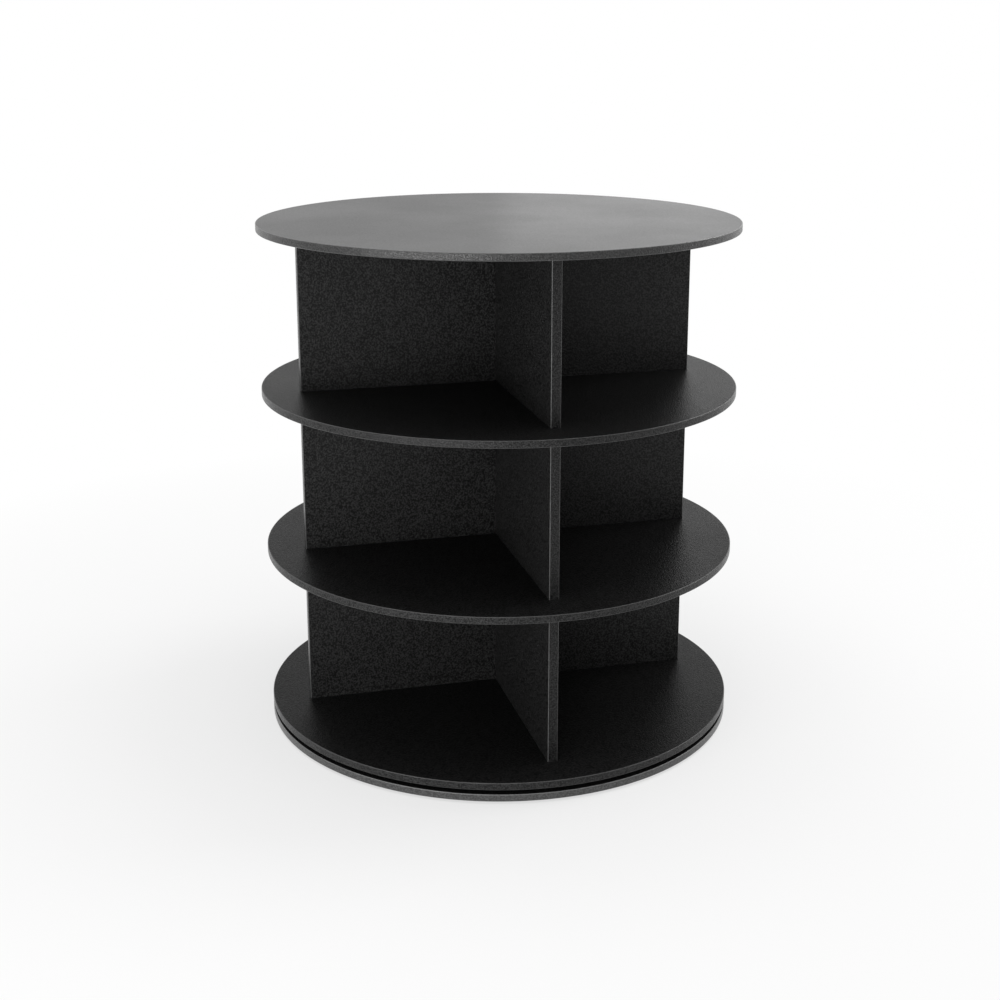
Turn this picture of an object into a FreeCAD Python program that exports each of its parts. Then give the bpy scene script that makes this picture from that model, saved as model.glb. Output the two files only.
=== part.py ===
import FreeCAD, Part
import math
import os

# Rotating shoe tower: three tiers of quarter-round compartments that turn on a base disc.
# Round shelves of thin black board are stacked on crosses of upright dividers. Each cross is
# one long divider with a short one butted to each face. Cam locks and dowels hold each
# divider to the boards above and below. Under the bottom shelf, a slim ball bearing lies in
# shallow seats in the shelf and in the base disc, and leaves a narrow shadow gap.
# Millimetres. The origin is on the floor, on the turning axis, and +Z is up. The long
# dividers lie along X. The short dividers lie along Y, and -Y is the front.

# Boards
disc_radius = 300.0             # over the edge band, the same for all five discs
disc_thickness = 9.0
divider_thickness = 12.0
divider_reach = 254.0           # turning axis to the divider's outer end, over its end band
compartment_height = 196.0      # clear height between two shelves
edge_band_thickness = 1.0
edge_band_rounding = 0.8        # radius on the band's outer corners

# Foot pads, stuck under the base disc
foot_pad_radius = 20.0
foot_pad_thickness = 3.0
foot_pad_rounding = 0.8
foot_pad_inset = 40.0           # rim of the base disc to the pad's centre
foot_pad_count = 6

# Turntable bearing: an outer ring on the base, an inner ring on the shelf, balls between
bearing_outer_radius = 150.0
bearing_height = 8.5            # over both rings
bearing_seat_depth = 1.5        # sunk into the base disc, and into the bottom shelf
seat_clearance = 0.15           # seat wall to the ring that it locates
seat_relief = 1.0               # seat wall to the ring that turns past it
ring_width = 15.2               # radial width of each ring
ring_gap = 1.6                  # radial gap between the rings, where the cage runs
ring_lift = 1.2                 # each ring stays this far off the other ring's board
ring_chamfer = 0.6
ball_radius = 2.5
ball_count = 36
ball_clearance = 0.05           # ball to groove
cage_thickness = 1.0
cage_height = 7.0
cage_hole_clearance = 0.1

# Bearing screws, countersunk, driven through each ring into its board
ring_screw_count = 8
ring_screw_radius = 1.75
ring_screw_head_radius = 3.6
ring_screw_bite = 5.0           # length held in the board
ring_screw_end_room = 0.5       # free depth past a screw's point
ring_screw_point = 2.0          # length of the tapered point
ring_screw_clearance = 0.2      # in the ring's hole
access_hole_radius = 8.0        # in the base disc, for driving the inner ring's screws

# Cam locks: a drum in the divider's face draws a bolt that stands in the board
fixing_radius = 95.0            # turning axis to each cam bolt, inside the bearing
cam_radius = 6.0
cam_depth = 9.5
cam_setback = 24.0              # divider's edge to the drum's centre
cam_clearance = 0.1
cam_chamber_radius = 4.2
cam_slot_clearance = 0.2        # each side of the bolt's neck
cam_cross_length = 8.0
cam_cross_width = 1.8
cam_cross_depth = 2.0
bolt_body_radius = 3.4
bolt_hole_clearance = 0.1
bolt_neck_radius = 2.0
bolt_head_radius = 3.2
bolt_head_length = 3.0
bolt_thread_radius = 3.0
bolt_thread_length = 6.8        # screwed into the top disc or the bottom shelf
bolt_seat_clearance = 0.05

# Cover caps, pressed into the cams' cross recesses
cap_radius = 8.5
cap_rim = 0.7
cap_crown = 1.5
cap_plug_clearance = 0.1
cap_plug_length = 1.5

# Dowels
dowel_radius = 3.0
dowel_clearance = 0.05
dowel_chamfer = 0.8
dowel_position = 215.0          # turning axis to each upright dowel
dowel_depth_in_divider = 20.0
dowel_depth_in_disc = 6.5
dowel_end_room = 0.5            # free depth past a dowel's end
cross_dowel_grip = 14.0         # length of a cross dowel in each short divider
cross_dowel_height = 50.0       # from a divider's nearer edge to the cross dowel

# Heights, from the floor up
gap_under_shelf = bearing_height - 2 * bearing_seat_depth
base_bottom = foot_pad_thickness
base_top = base_bottom + disc_thickness
bottom_shelf_z = base_top + gap_under_shelf
tier_step = disc_thickness + compartment_height
bearing_bottom = base_top - bearing_seat_depth
bearing_top = bearing_bottom + bearing_height
race_height = bearing_bottom + bearing_height / 2

# Sizes that follow from the values above
core_radius = disc_radius - edge_band_thickness
core_reach = divider_reach - edge_band_thickness
half_divider = divider_thickness / 2
outer_ring_bore = bearing_outer_radius - ring_width
inner_ring_rim = outer_ring_bore - ring_gap
bearing_inner_radius = inner_ring_rim - ring_width
race_radius = (outer_ring_bore + inner_ring_rim) / 2
groove_radius = ball_radius + ball_clearance
ring_height = bearing_height - ring_lift
ring_web = ring_width - (groove_radius - ring_gap / 2)      # a ring's free rim to its groove
outer_screw_circle = bearing_outer_radius - ring_web / 2
inner_screw_circle = bearing_inner_radius + ring_web / 2
bolt_hole_radius = bolt_body_radius + bolt_hole_clearance
dowel_hole_radius = dowel_radius + dowel_clearance

SHELVES = ("bottom_shelf", "lower_shelf", "upper_shelf", "top_disc")
TIERS = ("bottom_tier", "middle_tier", "top_tier")
ARMS = (0, 90, 180, 270)        # directions of the four divider arms, in degrees from +X
CROSS_DOWEL_HEIGHTS = (cross_dowel_height, compartment_height - cross_dowel_height)

X_AXIS = FreeCAD.Vector(1, 0, 0)
Z_AXIS = FreeCAD.Vector(0, 0, 1)
ORIGIN = FreeCAD.Vector(0, 0, 0)


def shelf_bottom(level):
    """Height of the underside of a shelf: level 0 is the bottom shelf, level 3 the top disc."""
    return bottom_shelf_z + level * tier_step


def at_angle(x, z, angle):
    """The point x from the axis at height z, turned by an angle in degrees about the axis."""
    a = math.radians(angle)
    return FreeCAD.Vector(x * math.cos(a), x * math.sin(a), z)


def even_angles(count, start=0.0):
    return [start + i * 360.0 / count for i in range(count)]


def turned(shape, angle):
    """A copy turned about the turning axis."""
    copy = shape.copy()
    copy.rotate(ORIGIN, Z_AXIS, angle)
    return copy


def raised(shape, height):
    """A copy lifted straight up."""
    copy = shape.copy()
    copy.translate(FreeCAD.Vector(0, 0, height))
    return copy


def upside_down(shape, height):
    """A copy turned over about a level line along X at the given height."""
    copy = shape.copy()
    copy.rotate(FreeCAD.Vector(0, 0, height), X_AXIS, 180)
    return copy


def rod(radius, length, base, direction=Z_AXIS):
    return Part.makeCylinder(radius, length, base, direction)


def ring(inner, outer, z, height):
    return rod(outer, height, FreeCAD.Vector(0, 0, z)).cut(
        rod(inner, height, FreeCAD.Vector(0, 0, z)))


def spun(profile):
    """A solid of revolution from (radius, height) points, about the Z axis."""
    points = [FreeCAD.Vector(r, 0, z) for r, z in profile]
    outline = Part.Face(Part.makePolygon(points + points[:1]))
    return outline.revolve(ORIGIN, Z_AXIS, 360)


def outer_edges(shape, radius, heights):
    """The full circles of a given radius at the given heights."""
    found = []
    for edge in shape.Edges:
        circle = isinstance(edge.Curve, Part.Circle) and abs(edge.Curve.Radius - radius) < 1e-6
        if circle and any(abs(edge.Curve.Center.z - z) < 1e-6 for z in heights):
            found.append(edge)
    return found


# Discs and their edge bands

def plain_disc(z):
    return rod(core_radius, disc_thickness, FreeCAD.Vector(0, 0, z))


def disc_edge_band(z):
    """The strip glued round a disc's rim, with its two outer corners rounded."""
    band = ring(core_radius, disc_radius, z, disc_thickness)
    rounding = min(edge_band_rounding, 0.45 * disc_thickness, 0.9 * edge_band_thickness)
    corners = outer_edges(band, disc_radius, (z, z + disc_thickness))
    return band.makeFillet(rounding, corners)


def bearing_seat(z, inner_clearance, outer_clearance):
    """The shallow ring-shaped pocket that takes one side of the bearing."""
    return ring(bearing_inner_radius - inner_clearance,
                bearing_outer_radius + outer_clearance, z, bearing_seat_depth)


def screw_pilots(circle, z):
    """Blind holes for one ring's screws, rising from height z."""
    return [rod(ring_screw_radius, ring_screw_bite + ring_screw_end_room,
                at_angle(circle, z, a)) for a in even_angles(ring_screw_count)]


def base_disc():
    """Bottom board: bearing seat and screw holes in its top face, and the access hole."""
    pilot_length = ring_screw_bite + ring_screw_end_room
    cuts = [bearing_seat(bearing_bottom, seat_relief, seat_clearance)]
    cuts += screw_pilots(outer_screw_circle, bearing_bottom - pilot_length)
    cuts.append(rod(access_hole_radius, disc_thickness,
                    at_angle(inner_screw_circle, base_bottom, 0)))
    return plain_disc(base_bottom).cut(cuts)


def arm_holes(z, length, radius, position):
    """One upright hole for each divider arm."""
    return [rod(radius, length, at_angle(position, z, a)) for a in ARMS]


def bottom_shelf():
    """Turning board: bearing seat below, threaded bolt holes and dowel holes above."""
    z = shelf_bottom(0)
    top = z + disc_thickness
    cuts = [bearing_seat(z, seat_clearance, seat_relief)]
    cuts += screw_pilots(inner_screw_circle, z + bearing_seat_depth)
    cuts += arm_holes(top - bolt_thread_length, bolt_thread_length,
                      bolt_thread_radius, fixing_radius)
    depth = dowel_depth_in_disc + dowel_end_room
    cuts += arm_holes(top - depth, depth, dowel_hole_radius, dowel_position)
    return plain_disc(z).cut(cuts)


def middle_shelf(level):
    """A shelf clamped between two crosses: its bolts and dowels pass right through."""
    z = shelf_bottom(level)
    cuts = arm_holes(z, disc_thickness, bolt_hole_radius, fixing_radius)
    cuts += arm_holes(z, disc_thickness, dowel_hole_radius, dowel_position)
    return plain_disc(z).cut(cuts)


def top_disc():
    """Top board: its holes are blind, so that the upper face stays plain."""
    z = shelf_bottom(len(TIERS))
    cuts = arm_holes(z, bolt_thread_length, bolt_thread_radius, fixing_radius)
    cuts += arm_holes(z, dowel_depth_in_disc + dowel_end_room,
                      dowel_hole_radius, dowel_position)
    return plain_disc(z).cut(cuts)


# Dividers, modelled with their lower edge at height 0 and then raised to their tier

def cam_bore(end):
    """Pocket for one cam drum, bored from the +Y face of an arm along X, at its lower or
    upper end, together with the bolt hole that runs to it from the arm's edge."""
    z = cam_setback if end == "lower" else compartment_height - cam_setback
    edge = 0.0 if end == "lower" else compartment_height - cam_setback
    drum = rod(cam_radius + cam_clearance, cam_depth,
               FreeCAD.Vector(fixing_radius, half_divider - cam_depth, z),
               FreeCAD.Vector(0, 1, 0))
    hole = rod(bolt_hole_radius, cam_setback, FreeCAD.Vector(fixing_radius, 0, edge))
    return [drum, hole]


def edge_dowel_holes():
    """Dowel holes in the lower and upper edge of an arm along X."""
    depth = dowel_depth_in_divider + dowel_end_room
    return [rod(dowel_hole_radius, depth, FreeCAD.Vector(dowel_position, 0, z))
            for z in (0, compartment_height - depth)]


def arm_cuts():
    """All that is bored into one arm along +X, with its cams in the +Y face."""
    return cam_bore("lower") + cam_bore("upper") + edge_dowel_holes()


def mirrored_in_x(shape):
    return shape.mirror(ORIGIN, X_AXIS)


def long_divider():
    """Full-width board along X, bored from its rear face, with cross dowel holes in the middle."""
    board = Part.makeBox(2 * core_reach, divider_thickness, compartment_height,
                         FreeCAD.Vector(-core_reach, -half_divider, 0))
    cuts = arm_cuts()
    cuts += [mirrored_in_x(cut) for cut in arm_cuts()]
    cuts += [rod(dowel_hole_radius, divider_thickness, FreeCAD.Vector(0, -half_divider, z),
                 FreeCAD.Vector(0, 1, 0)) for z in CROSS_DOWEL_HEIGHTS]
    return board.cut(cuts)


def short_divider():
    """Half-width board along +X, from the long divider's face to the rim."""
    board = Part.makeBox(core_reach - half_divider, divider_thickness, compartment_height,
                         FreeCAD.Vector(half_divider, -half_divider, 0))
    cuts = arm_cuts()
    cuts += [rod(dowel_hole_radius, cross_dowel_grip + dowel_end_room,
                 FreeCAD.Vector(half_divider, 0, z), X_AXIS) for z in CROSS_DOWEL_HEIGHTS]
    return board.cut(cuts)


def divider_end_band():
    """Strip on the outer end of an arm along +X, its two upright outer corners rounded."""
    band = Part.makeBox(edge_band_thickness, divider_thickness, compartment_height,
                        FreeCAD.Vector(core_reach, -half_divider, 0))
    rounding = min(edge_band_rounding, 0.45 * divider_thickness, 0.9 * edge_band_thickness)
    corners = [e for e in band.Edges
               if abs(e.Vertexes[0].X - divider_reach) < 1e-6
               and abs(e.Vertexes[1].X - divider_reach) < 1e-6
               and abs(e.Vertexes[0].Z - e.Vertexes[1].Z) > 1e-6]
    return band.makeFillet(rounding, corners)


# Cam locks, bolts, caps and dowels, each modelled once and then copied to its places

def cross_recess(length, width, depth, face_y):
    """A cross-shaped block that reaches from the face at face_y into the -Y side."""
    corner = FreeCAD.Vector(-length / 2, face_y - depth, -width / 2)
    bar = Part.makeBox(length, depth, width, corner)
    return bar.fuse(bar.copy().rotate(ORIGIN, FreeCAD.Vector(0, 1, 0), 90))


def cam_drum():
    """Drum with its axis along Y and its face at the divider's face. The bolt comes in from
    below, along Z: its head lies in the chamber, its neck in the slot."""
    drum = rod(cam_radius, cam_depth, FreeCAD.Vector(0, half_divider - cam_depth, 0),
               FreeCAD.Vector(0, 1, 0))
    chamber_half = bolt_head_radius + cam_slot_clearance
    chamber = rod(cam_chamber_radius, 2 * chamber_half, FreeCAD.Vector(0, -chamber_half, 0),
                  FreeCAD.Vector(0, 1, 0))
    slot_half = bolt_neck_radius + cam_slot_clearance
    slot = Part.makeBox(2 * slot_half, 2 * slot_half, cam_radius,
                        FreeCAD.Vector(-slot_half, -slot_half, -cam_radius))
    cross = cross_recess(cam_cross_length, cam_cross_width, cam_cross_depth, half_divider)
    return drum.cut([chamber, slot, cross])


def cap():
    """Domed cover cap on the divider's face, with a cross-shaped plug in the cam's recess."""
    rise = cap_crown - cap_rim
    dome_radius = (cap_radius ** 2 + rise ** 2) / (2 * rise)
    disc = rod(cap_radius, cap_crown, ORIGIN)
    dome = Part.makeSphere(dome_radius, FreeCAD.Vector(0, 0, cap_crown - dome_radius))
    body = disc.common(dome)
    body.rotate(ORIGIN, X_AXIS, -90)
    body.translate(FreeCAD.Vector(0, half_divider, 0))
    plug = cross_recess(cam_cross_length - 2 * cap_plug_clearance,
                        cam_cross_width - 2 * cap_plug_clearance, cap_plug_length, half_divider)
    return body.fuse(plug)


def bolt_end():
    """(radius, height) points of a bolt above a board's face: body, neck and head."""
    shoulder = cam_setback + bolt_seat_clearance - math.sqrt(
        cam_chamber_radius ** 2 - bolt_head_radius ** 2)
    body_top = cam_setback - cam_radius - cam_clearance
    return [(bolt_body_radius, 0), (bolt_body_radius, body_top),
            (bolt_neck_radius, body_top), (bolt_neck_radius, shoulder),
            (bolt_head_radius, shoulder), (bolt_head_radius, shoulder + bolt_head_length),
            (0, shoulder + bolt_head_length)]


def threaded_bolt():
    """Single-ended cam bolt, standing on a board's face at height 0 with its thread below."""
    return spun([(0, -bolt_thread_length), (bolt_thread_radius, -bolt_thread_length),
                 (bolt_thread_radius, 0)] + bolt_end())


def double_bolt():
    """Double-ended cam bolt through a shelf whose underside is at height 0."""
    upper = [(r, z + disc_thickness) for r, z in bolt_end()]
    lower = [(r, -z) for r, z in reversed(bolt_end())]
    return spun(lower + upper)


def dowel(length):
    """Round wooden pin with bevelled ends, standing on height 0."""
    bevel = min(dowel_chamfer, 0.9 * dowel_radius)
    return spun([(0, 0), (dowel_radius - bevel, 0), (dowel_radius, bevel),
                 (dowel_radius, length - bevel), (dowel_radius - bevel, length), (0, length)])


def at_arms(shape, position):
    """Four copies of an upright piece, one for each arm, at a distance from the axis."""
    placed = shape.copy()
    placed.translate(FreeCAD.Vector(position, 0, 0))
    return [turned(placed, a) for a in ARMS]


def tier_cam_pieces(piece):
    """Eight copies of a cam piece in a tier's arms, four low and four high."""
    low = piece.copy()
    low.translate(FreeCAD.Vector(fixing_radius, 0, cam_setback))
    high = piece.copy()
    high.rotate(ORIGIN, FreeCAD.Vector(0, 1, 0), 180)
    high.translate(FreeCAD.Vector(fixing_radius, 0, compartment_height - cam_setback))
    placed = [turned(p, a) for p in (low, high) for a in (0, 90, 270)]
    return placed + [mirrored_in_x(p) for p in (low, high)]


def cross_dowels():
    """Two level dowels that run through the long divider into both short ones."""
    length = divider_thickness + 2 * cross_dowel_grip
    pins = []
    for height in CROSS_DOWEL_HEIGHTS:
        pin = dowel(length)
        pin.rotate(ORIGIN, X_AXIS, -90)
        pin.translate(FreeCAD.Vector(0, -length / 2, height))
        pins.append(pin)
    return pins


# Bearing

def race_groove():
    return Part.makeTorus(race_radius, groove_radius, FreeCAD.Vector(0, 0, race_height))


def ring_screw():
    """Countersunk wood screw: its head's flat face at height 0 and its point below."""
    head_height = ring_screw_head_radius - ring_screw_radius
    tip = -(ring_height + ring_screw_bite)
    return spun([(0, 0), (ring_screw_head_radius, 0), (ring_screw_radius, -head_height),
                 (ring_screw_radius, tip + ring_screw_point), (0, tip)])


def ring_screw_holes(circle, face_z, downwards):
    """Countersunk clearance holes in a bearing ring, with their heads at face_z."""
    radius = ring_screw_radius + ring_screw_clearance
    cone = ring_screw_head_radius - radius
    hole = spun([(0, 0), (ring_screw_head_radius, 0), (radius, -cone),
                 (radius, -ring_height), (0, -ring_height)])
    return placed_screws(hole, circle, face_z, downwards)


def placed_screws(shape, circle, face_z, downwards):
    """Copies of a screw or of its hole round a circle, pointing down or up."""
    upright = shape if downwards else upside_down(shape, 0)
    one = raised(upright, face_z)
    one.translate(FreeCAD.Vector(circle, 0, 0))
    return [turned(one, a) for a in even_angles(ring_screw_count)]


def bearing_ring(inner, outer, z):
    """Flat ring with its free corners eased."""
    body = ring(inner, outer, z, ring_height)
    faces = (z, z + ring_height)
    rims = outer_edges(body, inner, faces) + outer_edges(body, outer, faces)
    return body.makeChamfer(min(ring_chamfer, 0.2 * (outer - inner)), rims)


def bearing_outer_ring():
    """Ring on the base disc, grooved on its inside, screwed down from above."""
    body = bearing_ring(outer_ring_bore, bearing_outer_radius, bearing_bottom)
    top = bearing_bottom + ring_height
    return body.cut([race_groove()] + ring_screw_holes(outer_screw_circle, top, True))


def bearing_inner_ring():
    """Ring on the bottom shelf, grooved on its outside, screwed up from below."""
    z = bearing_top - ring_height
    body = bearing_ring(bearing_inner_radius, inner_ring_rim, z)
    return body.cut([race_groove()] + ring_screw_holes(inner_screw_circle, z, False))


def ball_cage():
    """Thin upright band between the rings, with a round hole for each ball."""
    band = ring(race_radius - cage_thickness / 2, race_radius + cage_thickness / 2,
                race_height - cage_height / 2, cage_height)
    holes = []
    for a in even_angles(ball_count):
        outward = at_angle(1.0, 0.0, a)
        start = at_angle(race_radius - cage_thickness, race_height, a)
        holes.append(rod(ball_radius + cage_hole_clearance, 2 * cage_thickness, start, outward))
    return band.cut(holes)


def bearing_balls():
    return [Part.makeSphere(ball_radius, at_angle(race_radius, race_height, a))
            for a in even_angles(ball_count)]


# Feet

def foot_pads():
    """Round non-slip pads under the base disc, with their lower corner rounded."""
    pad = rod(foot_pad_radius, foot_pad_thickness, ORIGIN)
    corner = outer_edges(pad, foot_pad_radius, (0.0,))
    pad = pad.makeFillet(min(foot_pad_rounding, 0.9 * foot_pad_thickness), corner)
    pad.translate(FreeCAD.Vector(disc_radius - foot_pad_inset, 0, 0))
    return [turned(pad, a) for a in even_angles(foot_pad_count)]


# Assembly

def base_nodes():
    """What stands still on the floor."""
    outer_face = bearing_bottom + ring_height
    return {
        "foot_pads": foot_pads(),
        "base_disc": base_disc(),
        "base_disc_edge_band": disc_edge_band(base_bottom),
        "bearing_outer_ring": bearing_outer_ring(),
        "outer_ring_screws": placed_screws(ring_screw(), outer_screw_circle, outer_face, True),
    }


def bearing_nodes():
    """The bearing's inner parts, and the ring that turns with the tower."""
    inner_face = bearing_top - ring_height
    return {
        "ball_cage": ball_cage(),
        "bearing_balls": bearing_balls(),
        "bearing_inner_ring": bearing_inner_ring(),
        "inner_ring_screws": placed_screws(ring_screw(), inner_screw_circle, inner_face, False),
    }


def shelf_nodes():
    """The four turning boards, their edge bands, and the bolts and dowels that stand in them."""
    nodes = {}
    boards = (bottom_shelf(), middle_shelf(1), middle_shelf(2), top_disc())
    for level, (name, board) in enumerate(zip(SHELVES, boards)):
        z = shelf_bottom(level)
        top = z + disc_thickness
        nodes[name] = board
        nodes[name + "_edge_band"] = disc_edge_band(z)
        blind_length = dowel_depth_in_disc + dowel_depth_in_divider
        if level == 0:
            bolt = raised(threaded_bolt(), top)
            pin = raised(dowel(blind_length), top - dowel_depth_in_disc)
        elif level == len(TIERS):
            bolt = upside_down(raised(threaded_bolt(), z), z)
            pin = raised(dowel(blind_length), z - dowel_depth_in_divider)
        else:
            bolt = raised(double_bolt(), z)
            pin = raised(dowel(disc_thickness + 2 * dowel_depth_in_divider),
                         z - dowel_depth_in_divider)
        nodes[name + "_cam_bolts"] = at_arms(bolt, fixing_radius)
        nodes[name + "_dowels"] = at_arms(pin, dowel_position)
    return nodes


def tier_nodes():
    """The crosses of dividers, each with its end bands, cams, caps and cross dowels."""
    nodes = {}
    for level, tier in enumerate(TIERS):
        pieces = {
            "long_divider": long_divider(),
            "front_divider": turned(short_divider(), -90),
            "rear_divider": turned(short_divider(), 90),
            "divider_end_bands": [turned(divider_end_band(), a) for a in ARMS],
            "cams": tier_cam_pieces(cam_drum()),
            "cam_caps": tier_cam_pieces(cap()),
            "cross_dowels": cross_dowels(),
        }
        floor = shelf_bottom(level) + disc_thickness
        for name, shape in pieces.items():
            solids = shape if isinstance(shape, list) else [shape]
            nodes[f"{tier}_{name}"] = [raised(solid, floor) for solid in solids]
    return nodes


def export(nodes):
    """Writes one STEP file for each node, and prints its solids and volume."""
    os.makedirs("parts", exist_ok=True)
    for name, shape in nodes.items():
        solids = shape if isinstance(shape, list) else [shape]
        group = solids[0] if len(solids) == 1 else Part.makeCompound(solids)
        group.exportStep(os.path.join("parts", name + ".step"))
        print(f"{name}: {len(group.Solids)} solids, {group.Volume / 1000:.2f} cm3, "
              f"valid {group.isValid()}")


export({**base_nodes(), **bearing_nodes(), **shelf_nodes(), **tier_nodes()})
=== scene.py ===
# Looks of the rotating shoe tower, in the order in which the tower is put together.
# Metres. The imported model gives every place: boards stay as they are and get their finish here,
# while pads, edging, fittings and cover caps are made again in full detail.
import math

import bmesh
import bpy
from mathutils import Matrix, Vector


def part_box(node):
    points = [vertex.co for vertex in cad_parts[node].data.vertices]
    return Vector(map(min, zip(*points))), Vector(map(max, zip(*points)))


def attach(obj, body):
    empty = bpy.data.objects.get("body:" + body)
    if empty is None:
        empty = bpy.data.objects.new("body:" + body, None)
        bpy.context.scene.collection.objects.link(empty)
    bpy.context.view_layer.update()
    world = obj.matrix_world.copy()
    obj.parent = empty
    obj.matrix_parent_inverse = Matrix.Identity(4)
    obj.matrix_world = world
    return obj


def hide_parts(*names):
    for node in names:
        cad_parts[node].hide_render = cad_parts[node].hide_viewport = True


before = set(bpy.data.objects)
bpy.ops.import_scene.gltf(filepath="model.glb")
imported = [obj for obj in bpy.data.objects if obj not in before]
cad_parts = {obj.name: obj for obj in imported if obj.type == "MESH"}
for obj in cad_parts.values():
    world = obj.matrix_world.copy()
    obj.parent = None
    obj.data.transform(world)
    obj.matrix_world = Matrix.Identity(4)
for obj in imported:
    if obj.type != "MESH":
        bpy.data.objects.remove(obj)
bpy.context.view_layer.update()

MM = 0.001


# ---- Foot pads ---------------------------------------------------------------------------
# Six round pads of black rubber keep the base disc off the floor and stop it from sliding.
# Each is moulded with fine rings underneath and stuck on with its own adhesive.

pad_radius = 20 * MM
pad_height = 3 * MM
pad_corner = 0.8 * MM
pad_corner_steps = 6
pad_circle = 260 * MM
pad_count = 6
pad_ring_pitch = 2.4 * MM
pad_ring_depth = 0.35 * MM
pad_ring_steps = 6


def node(tree, kind, sockets=None, **settings):
    """Adds a node with its settings, and fills or links the sockets that are named."""
    made = tree.nodes.new(kind)
    for key, value in settings.items():
        setattr(made, key, value)
    for key, value in (sockets or {}).items():
        if isinstance(value, bpy.types.NodeSocket):
            tree.links.new(value, made.inputs[key])
        else:
            made.inputs[key].default_value = value
    return made


def turned_piece(name, outline, steps, groove=None):
    """A round solid about Z from (radius, height) points that run from the axis underneath,
    out and up, to the axis on top. A groove takes its depth off the radius."""
    points, rings = [], []
    for radius, height in outline:
        if radius == 0:
            rings.append([len(points)])
            points.append((0, 0, height))
            continue
        rings.append(list(range(len(points), len(points) + steps)))
        for i in range(steps):
            angle = math.tau * i / steps
            r = radius - (groove(angle, height) if groove else 0)
            points.append((r * math.cos(angle), r * math.sin(angle), height))
    faces = []
    for low, high in zip(rings, rings[1:]):
        for i in range(steps):
            j = (i + 1) % steps
            if len(low) == 1:
                faces.append((low[0], high[j], high[i]))
            elif len(high) == 1:
                faces.append((low[i], low[j], high[0]))
            else:
                faces.append((low[i], low[j], high[j], high[i]))
    return smooth_piece(name, points, faces)


def smooth_piece(name, points, faces, crease=35):
    """A mesh object that is shaded smooth except over edges sharper than the crease."""
    mesh = bpy.data.meshes.new(name)
    mesh.from_pydata(points, [], faces)
    mesh.shade_smooth()
    mesh.set_sharp_from_angle(angle=math.radians(crease))
    return shown(name, mesh)


def shown(name, mesh):
    """The mesh as an object of the scene."""
    piece = bpy.data.objects.new(name, mesh)
    bpy.context.scene.collection.objects.link(piece)
    return piece


def marks(places):
    """Loose points for fittings to be set on. Each has its place and its turn."""
    mesh = bpy.data.meshes.new("marks")
    mesh.from_pydata([place for place, turn in places], [], [])
    turns = mesh.attributes.new("turn", "FLOAT_VECTOR", "POINT")
    turns.data.foreach_set("vector", [angle for place, turn in places for angle in turn])
    return mesh


def new_tree(name, *inputs):
    """A Geometry Nodes tree with its named inputs, and its input and output nodes."""
    tree = bpy.data.node_groups.new(name, "GeometryNodeTree")
    tree.interface.new_socket("Geometry", in_out="OUTPUT", socket_type="NodeSocketGeometry")
    for label, kind in inputs:
        tree.interface.new_socket(label, in_out="INPUT", socket_type="NodeSocket" + kind)
    return tree, tree.nodes.new("NodeGroupInput").outputs, tree.nodes.new("NodeGroupOutput")


def end_tree(tree, geometry, finish, output):
    """Closes a tree with real geometry and its material."""
    real = node(tree, "GeometryNodeRealizeInstances", {"Geometry": geometry})
    painted = node(tree, "GeometryNodeSetMaterial",
                   {"Geometry": real.outputs[0], "Material": finish})
    tree.links.new(painted.outputs[0], output.inputs["Geometry"])


def plain_result(name, tree, values, start=None):
    """Runs a tree with these input values, and keeps what it makes as one plain mesh."""
    worker = shown("worker", start or bpy.data.meshes.new("start"))
    modifier = worker.modifiers.new("tree", "NODES")
    modifier.node_group = tree
    for socket in tree.interface.items_tree:
        if socket.in_out == "INPUT" and socket.name in values:
            modifier[socket.identifier] = values[socket.name]
    worker.update_tag()
    bpy.context.view_layer.update()
    seen = worker.evaluated_get(bpy.context.evaluated_depsgraph_get())
    mesh = bpy.data.meshes.new_from_object(seen)
    mesh.name = name
    bpy.data.objects.remove(worker)
    return shown(name, mesh)


fit_tree, given, output = new_tree(
    "fittings_on_marks", ("Geometry", "Geometry"), ("Fitting", "Object"),
    ("Loose Turn", "Float"), ("Seed", "Int"), ("Finish", "Material"))
turn = node(fit_tree, "GeometryNodeInputNamedAttribute", {"Name": "turn"},
            data_type="FLOAT_VECTOR")
facing = node(fit_tree, "FunctionNodeEulerToRotation", {"Euler": turn.outputs["Attribute"]})
least = node(fit_tree, "ShaderNodeMath", {0: given["Loose Turn"], 1: -1.0},
             operation="MULTIPLY")
chance = node(fit_tree, "FunctionNodeRandomValue",
              {2: least.outputs[0], 3: given["Loose Turn"], "Seed": given["Seed"]})
twist = node(fit_tree, "FunctionNodeAxisAngleToRotation",
             {"Axis": (0, 0, 1), "Angle": chance.outputs[1]})
set_down = node(fit_tree, "FunctionNodeRotateRotation",
                {"Rotation": facing.outputs[0], "Rotate By": twist.outputs[0]},
                rotation_space="LOCAL")
one_fitting = node(fit_tree, "GeometryNodeObjectInfo", {"Object": given["Fitting"]})
placed = node(fit_tree, "GeometryNodeInstanceOnPoints",
              {"Points": given["Geometry"], "Instance": one_fitting.outputs["Geometry"],
               "Rotation": set_down.outputs[0]})
end_tree(fit_tree, placed.outputs[0], given["Finish"], output)


def set_on_marks(name, fitting, places, finish, loose_turn=0.0, seed=1):
    """Copies one fitting to all its places as one mesh, each turned by chance up to the
    loose turn either way."""
    return plain_result(name, fit_tree, {
        "Fitting": fitting, "Loose Turn": loose_turn, "Seed": seed, "Finish": finish,
    }, marks(places))


def round_circle(radius, height, count, start=0.0, tilt=0.0):
    """Places evenly round the turning axis."""
    angles = [start + math.tau * i / count for i in range(count)]
    return [((radius * math.cos(a), radius * math.sin(a), height), (tilt, 0, a))
            for a in angles]


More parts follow.
